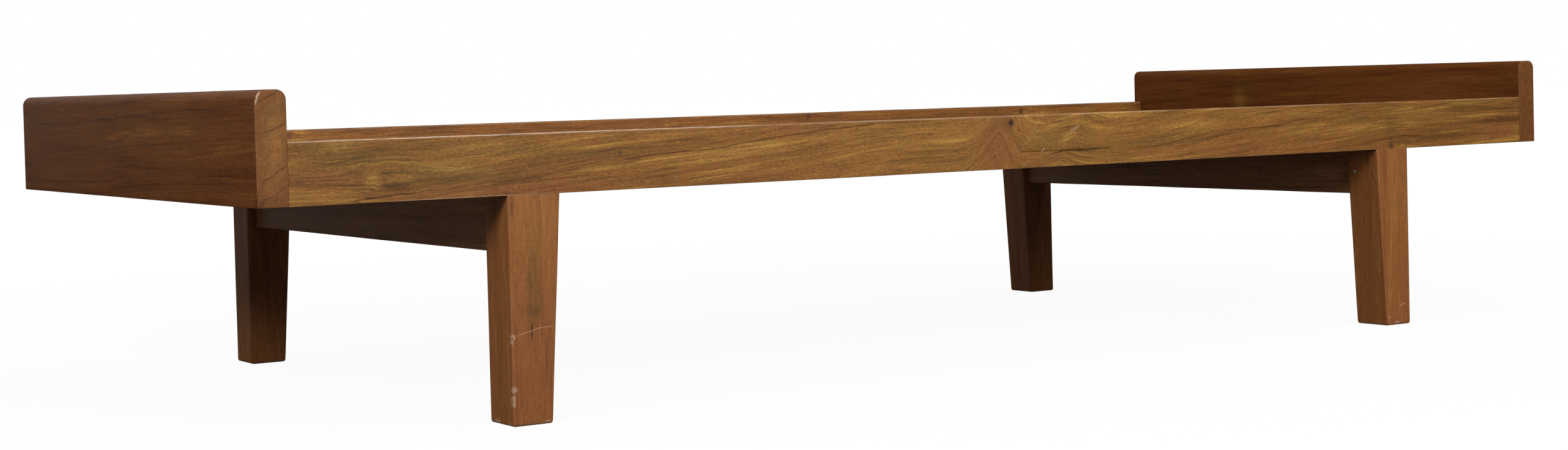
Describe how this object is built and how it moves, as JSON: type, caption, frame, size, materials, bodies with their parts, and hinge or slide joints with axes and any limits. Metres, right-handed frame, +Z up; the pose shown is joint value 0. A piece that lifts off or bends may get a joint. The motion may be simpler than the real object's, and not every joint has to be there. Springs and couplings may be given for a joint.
{
  "type": "bed frame",
  "caption": "Low wooden bed frame with raised plank ends, shallow side rails, tapered inset legs tied by cross rails, and a slatted base.",
  "frame": {"origin": "on the floor, under the middle of the bed", "axes": "+X along the bed towards the right end, +Y across it towards the back rail, +Z up"},
  "size_m": [2, 0.838, 0.373],
  "materials": {
    "end_board": "hand-rubbed oil finish on aged teak, dark reddish brown",
    "rail": "hand-rubbed oil finish on aged teak, olive brown with dark grain",
    "leg": "hand-rubbed oil finish on aged teak, reddish brown",
    "cross_rail": "oiled teak, dark brown",
    "slat": "planed teak, unfinished",
    "screw": "plain steel wood screws",
    "pin": "bare steel, round head"
  },
  "bodies": {
    "root": {"back_rail": "rail", "cross_rail_left": "cross_rail", "cross_rail_right": "cross_rail", "end_board_left": "end_board", "end_board_right": "end_board", "front_rail_long": "rail", "front_rail_short": "rail", "ledger_back_left": "slat", "ledger_back_middle": "slat", "ledger_back_right": "slat", "ledger_front_left": "slat", "ledger_front_middle": "slat", "ledger_front_right": "slat", "leg_back_left": "leg", "leg_back_right": "leg", "leg_front_left": "leg", "leg_front_right": "leg", "leg_screws": "screw", "slat_01": "slat", "slat_02": "slat", "slat_03": "slat", "slat_04": "slat", "slat_05": "slat", "slat_06": "slat", "slat_07": "slat", "slat_08": "slat", "slat_09": "slat", "slat_10": "slat", "slat_11": "slat", "slat_12": "slat", "slat_13": "slat", "slat_14": "slat", "slat_15": "slat", "slat_16": "slat", "slat_17": "slat", "tenon_pins": "pin"}
  },
  "joints": []
}
